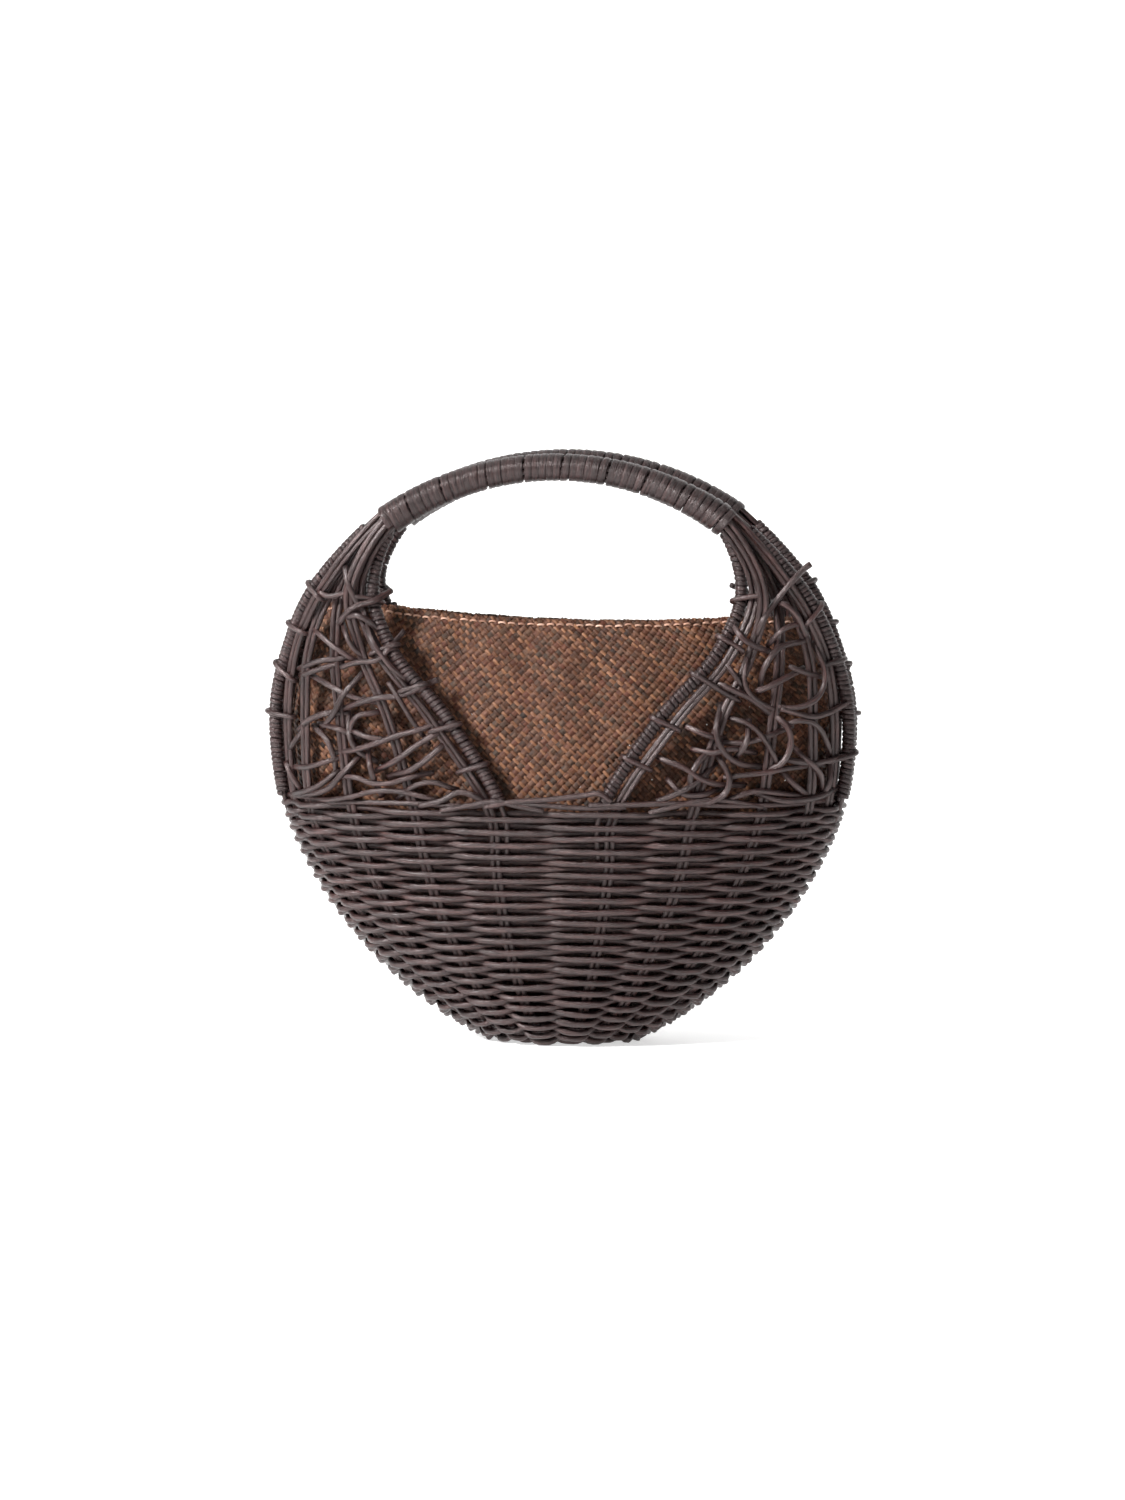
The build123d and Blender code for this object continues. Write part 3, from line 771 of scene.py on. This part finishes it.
def mat_floor(strands):
    """The mat's floor, laid across inside the lowest ring."""
    half_x, half_y, z = PROFILE[0, 1] + 0.6, PROFILE[0, 2] + 0.6, PROFILE[0, 0]
    slants = ((WIDE_ANGLE, WIDE_PITCH, 1.75, True), (pi - NARROW_ANGLE, NARROW_PITCH, 0.9, False))
    for angle, pitch, half_width, wide in slants:
        direction = np.array([cos(angle), sin(angle)])
        across = np.array([-sin(angle), cos(angle)])
        for index in range(-14, 15):
            along = np.arange(-60, 60, 1.5)
            xy = across * (index * pitch) + along[:, None] * direction
            inside = (xy[:, 0] / half_x) ** 2 + (xy[:, 1] / half_y) ** 2 < 1
            if inside.sum() < 4:
                continue
            xy = xy[inside]
            other = pi - NARROW_ANGLE if wide else WIDE_ANGLE
            crossing = xy @ np.array([-sin(other), cos(other)]) / (NARROW_PITCH if wide else WIDE_PITCH)
            lift = (FLOOR_LIFT if wide else -NARROW_LIFT) * np.cos(pi * crossing) * (-1) ** index
            line = np.stack([xy[:, 0], xy[:, 1], z + 0.3 + lift], 1)
            strands.add(line, half_width, 0.22, SPLINT, np.tile([0, 0, 1.0], (len(line), 1)))


STITCH_PITCH = 6.1
STITCH_DROP = 2.4         # below the fold
# a stitch's bends: along the mouth, up from its own line, and off the mat
STITCH_ALONG = np.array([-2.5, -1.9, -0.6, 0.7, 1.8, 2.4])
STITCH_UP = np.array([-0.3, 0.05, 0.25, 0.25, 0.1, -0.25])
STITCH_LIFT = np.array([-0.4, 0.55, 0.95, 0.95, 0.5, -0.4])
for frame_name, facing in FRAMES:
    spun = facing > 0
    wide = Strands()
    mat_strips(wide, True, spun)
    nodes = [f"pouch_{frame_name}_mat", f"pouch_{frame_name}_hem"]
    mat = wide.piece(f"{frame_name}_mat_strips", mat_wide, "mat", nodes)
    narrow = Strands()
    mat_strips(narrow, False, spun)
    splints = narrow.piece(f"{frame_name}_mat_splints", mat_narrow, "mat")
    stitches = Strands()
    for x in np.arange(-HALF_ROUND + 5, HALF_ROUND - 3, STITCH_PITCH):
        v = CLIMB_TOP - STITCH_DROP + RNG.normal() * 0.25 + STITCH_UP
        point, facing_out = on_mat(x + STITCH_ALONG, v, STITCH_LIFT, spun)
        stitches.add(point, RNG.uniform(0.5, 0.62), 0.34, THREAD, facing_out)
    nodes = [f"pouch_{frame_name}_stitching"]
    sewing = stitches.piece(f"{frame_name}_mouth_stitches", thread, "stitch_thread", nodes)
    if not spun:
        floor_strips = Strands()
        mat_floor(floor_strips)
        floor_strips.piece("mat_floor", mat_wide, "mat")


# ---- shoulders: canes over the fans, ties ----
def shoulder_depth(x, z):
    """Distance of the fan's face from the middle plane at a place seen from the front."""
    levels = (BODY_TOP, *FAN_HEIGHTS)
    xs, ys = [], []
    for hoop in reversed(ACROSS_SHOULDER):
        if "angle" in hoop:
            foot = bowl_spot(radians(hoop["angle"]), BODY_TOP, STAKE_DEPTH)
            start = (foot[0], -foot[1])
        else:
            start = INNER_RIM_FOOT[1][:2]
        xs.append(np.interp(z, levels, (start[0], *hoop["x"])))
        ys.append(np.interp(z, levels, (start[1], *hoop["y"])))
    return np.interp(abs(x), xs, ys)


TUCKED = 2.0              # ends lying lower than this over the fan go on behind it
TUCK_RUN = 4.0
TUCK_DEPTH = 2.4


def tuck(end, before):
    """Where a cane's end goes on to, behind the fan."""
    away = unit(end[:2] - before[:2]) * TUCK_RUN
    return np.array([end[0] + away[0], end[1] + away[1], -TUCK_DEPTH])


def over_fan(points, facing, step=2.2):
    """A line over the fan from (across, height, lift) points."""
    points = [np.array(point, float) for point in points]
    first = [tuck(points[0], points[1])] if points[0][2] <= TUCKED else []
    last = [tuck(points[-1], points[-2])] if points[-1][2] <= TUCKED else []
    spots = [(x, -(shoulder_depth(x, z) + lift), z) for x, z, lift in first + points + last]
    line = spline(spots, step)
    return line * (1, -facing, 1)


# Short canes worked over each shoulder: (across, height, lift off the fan) of the front's,
# on its left and on its right.
LEFT_CANES = (
    ((-130, 224, 1), (-120, 217, 4), (-110, 211, 2)),
    ((-138, 205, 1), (-128, 209, 3.4), (-116, 210.5, 0)),
    ((-137, 201.5, 2), (-127, 205, 3.4), (-119, 207.5, 0.5)),
    ((-130, 199, 0), (-117, 193.5, 3.6), (-107, 189.5, 2), (-96, 187.5, -1)),
    ((-106, 201, 0), (-114, 192, 4.6), (-120, 181, 4), (-125, 175, 0)),
    ((-139, 173, 0), (-136, 176, 4.2), (-124, 181, 3.8), (-115, 181, -0.5)),
    ((-116, 206, 2.6), (-107, 209, 4.4), (-95, 211, 4.2), (-88, 218, 4), (-84, 223, -2)),
    ((-114, 184, 0), (-105, 187.5, 4), (-95, 190.5, 4), (-82, 192, 2.4), (-71, 197, 4), (-66, 199, -2)),
    ((-110, 168, 0), (-110, 175, 4.5), (-106, 180.5, 4.4), (-98, 182, 1)),
    ((-112, 177, 0), (-110.5, 168, 4), (-106, 161, 3.4), (-99, 157, -1)),
    ((-109, 172, 3.4), (-101, 169.5, 5.4), (-91, 168, 2)),
    ((-116, 160, 0), (-106, 162.5, 4.4), (-96, 166, 4.6), (-84, 170.5, 3.4), (-72, 174, 3), (-62, 177, -1)),
    ((-126, 174, 0), (-116, 172.5, 4), (-108, 169, -0.5)),
    ((-147, 160, 1), (-144, 164, 3.6), (-140, 169, 0)),
    ((-130, 171, 0), (-124, 166, 2.6), (-120.5, 158, 3), (-119.5, 149, -0.5)),
    ((-142, 150, 2), (-134, 151.5, 4.4), (-122, 155.5, 4.2), (-117, 156.5, 0)),
    ((-150, 152, 3), (-147, 146, 4), (-143, 140, 0.5)),
    ((-120, 148, 2), (-128, 142, 4.2), (-137, 137.5, 3.4), (-145, 135, 1)),
    ((-108, 156, 1), (-116, 148, 4.6), (-123, 140.5, 4.6), (-132, 136.5, 3), (-147, 134, 0.5)),
    ((-116, 147, 2), (-107, 147, 5), (-99, 144.5, 5), (-89, 144.5, 4), (-78, 148, 4), (-68, 150, -1)),
    ((-94, 152, 1), (-85, 157, 5), (-74, 165, 4), (-63, 172, 2)),
    ((-101, 161, 0), (-99, 153, 5.4), (-97, 145, 3), (-95, 140, -1)),
    ((-89, 199, 2.4), (-82, 189, 4), (-75, 178, 3), (-69, 169, -1)),
    ((-147, 134, 1), (-125, 133.5, 3.4), (-110, 136.5, 4.4), (-97, 140, 4.6), (-84, 140.5, 4),
     (-70, 138, 3), (-60, 135, 0)),
    ((-72, 133, 3), (-60, 136, 4.6), (-50, 141, 4), (-41, 139, 4), (-34, 134, 1)),
    ((-117, 230, 3), (-111, 237, 5), (-105, 240, 3.6), (-98, 242, 4.8), (-93, 245, 1)),
    ((-112, 233, 4), (-107, 234.5, 6), (-101, 232, 5), (-97, 228, 1)),
    ((-110, 246, 1), (-116, 245.5, 5), (-123, 244, 5), (-129, 246, 4)),
    ((-114, 260, 3), (-112, 252, 5), (-108, 243, 4), (-104, 236, 0)),
    ((-115, 228, 1), (-112, 222, 5), (-109, 217, 3), (-104, 212, 0)),
    ((-101, 228, 1), (-98, 221, 4.4), (-92, 213, 4), (-86, 206, 3), (-80, 201, 0)),
    ((-60, 165, 2), (-68, 158, 4.4), (-77, 152, 4), (-86, 149, 0)),
    ((-55, 143, 1), (-64, 146, 4), (-74, 144, 4), (-82, 138, 1)),
)
RIGHT_CANES = (
    ((103, 212, 1), (102, 203, 5), (104, 196, 6), (109, 190.5, 5), (116, 186, 1)),
    ((110, 198, 0), (112, 207, 5), (116, 214, 6), (121, 219, 5.4), (131, 221, 1)),
    ((125, 208.5, 3), (131, 206, 5.6), (140, 202.5, 2)),
    ((108, 195.5, 3.6), (114, 197.5, 5.6), (121, 201, 5), (129, 205, 0)),
    ((139, 217, 0), (143.5, 207, 5), (143.5, 198, 6.4), (140, 191, 6.6), (133, 187, 6),
     (125, 186, 4), (120, 186.5, 1)),
    ((121, 186, 4), (130, 183, 5), (138, 181, 5), (147, 183, 4.6), (152, 185.5, 4.4), (155, 187, 3)),
    ((90, 199, 2), (97, 196, 5), (104, 192.5, 5.4), (110, 188, 3), (115, 183, 0)),
    ((76, 205, 4.4), (83, 201, 5), (89, 196.5, 3.4), (96, 192, 1)),
    ((97, 180.5, 2), (103, 179, 5.6), (108.5, 175, 6), (113.5, 168.5, 5.4), (117.5, 161, 5), (120, 154, 1)),
    ((119.5, 180.5, 1), (124.5, 176.5, 5.6), (126.5, 169, 6.6), (125, 161.5, 6.6),
     (121.5, 156.5, 5.4), (115, 152.5, 1)),
    ((98, 160.5, 2), (102, 166, 5.6), (104, 171, 5), (104, 176, 1)),
    ((89, 185, 0), (87.5, 175, 5), (90, 166, 6), (95, 160, 5.6), (101, 156.5, 4.4), (108, 155, 1)),
    ((74, 176, 1), (81, 173.3, 5.4), (88, 171, 2)),
    ((90, 168, 0), (99, 168, 4), (107, 169, 3.6), (115, 171.5, 4), (123, 174.5, 0)),
    ((91, 149.5, 3), (104, 151, 5.6), (115, 152, 5.4), (124, 153.5, 4.4), (134, 154, 0)),
    ((60, 159, 1), (70, 155.5, 5), (80, 149, 5), (88, 146, 4), (98, 145, 0)),
    ((88, 161, 1), (93, 153.5, 5.6), (94.5, 147, 6.6), (91.5, 140.5, 6), (85, 137, 5),
     (74, 136, 4), (62, 135, 1)),
    ((124, 158, 2), (131, 157, 5), (139, 155, 1)),
    ((129, 163, 1), (134, 158.5, 5), (139, 153.5, 5.4), (142, 148, 4), (142, 141, 0)),
    ((123, 150.5, 2), (128, 145, 5), (134, 139, 1)),
    ((122, 176, 0), (129, 179, 5), (136, 178.5, 5.4), (141.5, 174, 4.4), (145, 166, 3), (147, 158, 0)),
    ((136, 155, 1), (146, 156.5, 4.6), (152, 158, 4.6), (156, 158.8, 3.4)),
    ((90, 136, 2), (100, 140, 5), (109, 142, 5), (119, 140.5, 4), (131, 138, 1)),
    ((110, 140, 1), (121, 136.5, 4.6), (132, 136, 4), (142, 137.5, 4), (151, 142, 0)),
    ((146, 155, 0), (146.5, 146, 3.6), (143, 138, 1)),
    ((96, 230, 1), (101, 224, 5), (107, 220, 5.4), (114, 216.5, 1)),
    ((116, 222, 1), (121, 227.5, 5.4), (126, 230, 5), (132, 231, 1)),
    ((117, 241, 1), (118.5, 234, 5), (119.5, 227, 4.4), (119, 219, 0)),
    ((119, 243, 3), (125, 240, 6), (130, 234, 5.4), (133, 226, 1)),
    ((84, 164, 1), (78, 158, 4.4), (74, 150, 4.6), (75, 142, 1)),
    ((64, 146, 1), (70, 141, 4.4), (80, 140.5, 4.6), (88, 143, 1)),
    ((104, 163, 1), (96, 165, 5), (86, 163, 5), (78, 164, 1)),
    ((56, 137, 3), (66, 141, 5), (77, 147, 4), (84, 154, 1)),
    ((93, 209, 1), (98, 203, 4.6), (101, 197, 2)),
)
# the one long cane whose end stands proud of the rim, on the front's right only
PROUD_CANE = (
    (108, 226, 2), (112, 234, 5.6), (118, 243, 5), (125, 252, 4.6), (133, 260.5, 4.6), (136.5, 263, 4),
)
# loose canes along the bowl's edge: (across, height, lift off the edge)
EDGE_CANES = (
    ((-150, 133, -2.6), (-128, 132, -1.6), (-100, 133.5, -1), (-70, 134, 0.4), (-44, 133.5, 1.4),
     (-30, 135.5, 1.6), (-8, 135, 1), (16, 133.4, 1), (40, 134, 1)),
    ((-36, 133.6, 2.6), (-20, 136.4, 2), (0, 138, 1.6), (18, 140.5, 2), (26, 141.5, 3.2), (32, 137, 2)),
    ((20, 135, 1.4), (44, 135.4, 1.6), (66, 136, 2), (92, 134.6, 1.6), (120, 134, 0), (148, 134, -2)),
    ((-60, 131, 3), (-45, 134, 3), (-30, 136.6, 2.4), (-18, 134, 1.6), (-4, 131.6, 1)),
    ((52, 131, 1), (64, 134, 2.6), (80, 137.6, 2.6), (96, 136.8, 2), (112, 133, 1)),
)
SHORT_RADIUS = 1.62
EDGE_RADIUS = 1.5
TIE_RADIUS = 1.35
TIE_OVER_PAIR = 3.0       # the tie's own middle above the pair's, and above the wound rim's
TIE_OVER_RIM = 4.7
TIE_BEYOND = 4.6          # how far it goes round past their middles
TIE_CLIMB = 0.35          # how it climbs as it goes round


def worked_again(canes):
    """The same hand of work once more, every bend a little off."""
    return [
        [(x + RNG.normal() * 1.2, z + RNG.normal() * 1.5, lift) for x, z, lift in points]
        for points in canes
    ]


def mirrored(canes):
    return [[(-x, z, lift) for x, z, lift in points] for points in canes]


def edge_depth(x, z):
    """Distance of the bowl's top edge from the middle plane, on its front."""
    half_x, half_y = (outline_half(o, BODY_TOP)[0] - 3.4 for o in (SIDE, FRONT))
    return half_y * np.sqrt(max(1 - (x / half_x) ** 2, 0))


def at_level(line, level):
    point = np.array([np.interp(level, line[:, 2], line[:, i]) for i in range(3)])
    i = int(np.searchsorted(line[:, 2], level))
    return point, unit(line[min(i + 2, len(line) - 1)] - line[max(i - 2, 0)])


def tie(strands, rim, pair, level, slant, facing):
    """A cane bound once round a rim and the pair beside it, its ends tucked behind."""
    at_rim, run = at_level(rim, level)
    at_pair, _ = at_level(pair, level + slant)
    across = at_pair - at_rim
    reach = np.linalg.norm(across)
    across = across / reach
    out = unit(np.cross(run, across))
    out = out * np.sign(out[1] * facing)
    middle = (at_rim + at_pair) / 2
    angle = np.linspace(-2.3, 5.1, 44)
    bend = np.sign(np.cos(angle)) * np.abs(np.cos(angle)) ** 0.75
    lift = np.sign(np.sin(angle)) * np.abs(np.sin(angle)) ** 0.6
    round_rim = (1 - bend) / 2
    half_thick = TIE_OVER_PAIR + (TIE_OVER_RIM - TIE_OVER_PAIR) * round_rim
    along = run * ((angle - pi / 2)[:, None] * TIE_CLIMB)
    line = middle + across * (bend * (reach / 2 + TIE_BEYOND))[:, None]
    line = line + out * (lift * half_thick)[:, None] + along
    strands.add(resampled(line, 1.6), TIE_RADIUS, rough=0.05)


# each tie's height on the rim, and how much lower it crosses the pair, by side
OUTER_TIES = {-1: ((248, -3), (227, -2), (204, -4), (179, -1)), 1: ((238, -4), (210, -1), (159, -2))}
INNER_TIES = {
    -1: ((241, 2), (217, -2), (197, -2), (176, -2), (155, -2)),
    1: ((243, 2), (222, -3), (203, -3), (180, -3), (159, -3)),
}
for frame_name, facing in FRAMES:
    for side_name, side in SIDES:
        label = f"{frame_name}_{side_name}"
        canes = LEFT_CANES if side < 0 else RIGHT_CANES
        if facing < 0 and side > 0:
            canes = (*canes, PROUD_CANE)
        if facing > 0:
            canes = worked_again(mirrored(RIGHT_CANES if side < 0 else LEFT_CANES))
        short = Strands()
        for cane_points in canes:
            short.add(over_fan(cane_points, facing), SHORT_RADIUS * RNG.uniform(0.9, 1.1), rough=0.05)
        short.piece(f"{label}_short_canes", cane, "cane", [f"{label}_fillers"])
        for rim_name, hoop, beside, ties in (
            ("outer", OUTER_RIM, HOOPS["hoop_1"], OUTER_TIES),
            ("inner", INNER_RIM, HOOPS["hoop_5"], INNER_TIES),
        ):
            bound = Strands()
            for level, slant in ties[-side * facing]:
                rim, pair = rim_line(hoop, facing, side), rim_line(beside, facing, side)
                tie(bound, rim, pair, level, slant, facing)
            bound.piece(f"{label}_{rim_name}_bound", cane, "cane", [f"{label}_{rim_name}_ties"])
for frame_name, facing in FRAMES:
    edge = Strands()
    for cane_points in EDGE_CANES:
        spots = [(x, -(edge_depth(x, z) + lift), z) for x, z, lift in cane_points]
        line = spline(spots, 2.2) * (1, -facing, 1)
        edge.add(line, EDGE_RADIUS * RNG.uniform(0.92, 1.05), rough=0.06)
    edge.piece(f"{frame_name}_edge_canes", cane, "cane", ["front_loose_cane"] if facing < 0 else [])

# ---- stage ----
def backdrop():
    """A pale sweep: floor, a wide bend and a wall."""
    profile = [(-4.0, 0.0), (1.6, 0.0)]
    profile += [(1.6 + 1.4 * sin(a), 1.4 - 1.4 * cos(a)) for a in np.linspace(0.1, pi / 2, 14)]
    profile += [(3.0, 5.0)]
    points = [(x, y, z) for y, z in profile for x in (-6.0, 6.0)]
    faces = [(2 * i, 2 * i + 1, 2 * i + 3, 2 * i + 2) for i in range(len(profile) - 1)]
    mesh = bpy.data.meshes.new("backdrop")
    mesh.from_pydata(points, [], faces)
    mesh.polygons.foreach_set("use_smooth", np.ones(len(faces), bool))
    made = bpy.data.objects.new("backdrop", mesh)
    shader = Shader("pale_paper")
    place = shader.place()
    cloud = shader.noise(place, 1.3, 2.0)
    grain = shader.noise(place, 260.0, 3.0)
    colour = shader.ramp(cloud, [(0.3, tint(236, 236, 236)), (0.7, tint(242, 242, 241))])
    shader.surface.inputs["Emission Color"].default_value = (1, 1, 1, 1)
    shader.surface.inputs["Emission Strength"].default_value = 0.6
    rough = shader.span(grain, 0.3, 0.7, 0.7, 0.85)
    mesh.materials.append(shader.finish(colour, rough, grain, bump=(0.1, 0.0004), specular=0.2))
    bpy.context.scene.collection.objects.link(made)
    return made


TARGET = Vector((0, 0, 0.1588))


def area_light(name, place, size, power):
    """A square white light, aimed at the basket's middle."""
    data = bpy.data.lights.new(name, "AREA")
    data.shape = "SQUARE"
    data.size = size
    data.energy = power
    made = bpy.data.objects.new(name, data)
    made.location = place
    made.rotation_euler = (TARGET - Vector(place)).to_track_quat("-Z", "Y").to_euler()
    bpy.context.scene.collection.objects.link(made)
    return made


key = area_light("key_light", (-1.95, -1.7, 1.8), size=0.6, power=195)
fill = area_light("fill_light", (1.9, -1.8, 0.9), size=1.6, power=1.5)
top = area_light("top_light", (-0.3, 0.1, 2.3), size=1.4, power=16)
backdrop()

world = bpy.data.worlds.new("studio")
world.use_nodes = True
sky = world.node_tree.nodes["Background"]
sky.inputs["Color"].default_value = (1, 1, 1, 1)
sky.inputs["Strength"].default_value = 0.18
bpy.context.scene.world = world
bpy.context.scene.view_settings.view_transform = "Standard"

# ---- camera ----
CAMERA_AZIMUTH = radians(6.0)
CAMERA_RISE = radians(5.7)
CAMERA_DISTANCE = 2.8
FRAME_HEIGHT = 0.816      # how much of the scene the picture takes in, at the target
SENSOR = 36
lens = bpy.data.cameras.new("camera")
lens.sensor_fit = "VERTICAL"
lens.sensor_height = SENSOR
lens.lens = SENSOR * CAMERA_DISTANCE / FRAME_HEIGHT
camera = bpy.data.objects.new("camera", lens)
level_away = cos(CAMERA_RISE)
away = Vector((sin(CAMERA_AZIMUTH) * level_away, -cos(CAMERA_AZIMUTH) * level_away, sin(CAMERA_RISE)))
camera.location = TARGET + away * CAMERA_DISTANCE
camera.rotation_euler = (-away).to_track_quat("-Z", "Y").to_euler()
bpy.context.scene.collection.objects.link(camera)
bpy.context.scene.camera = camera
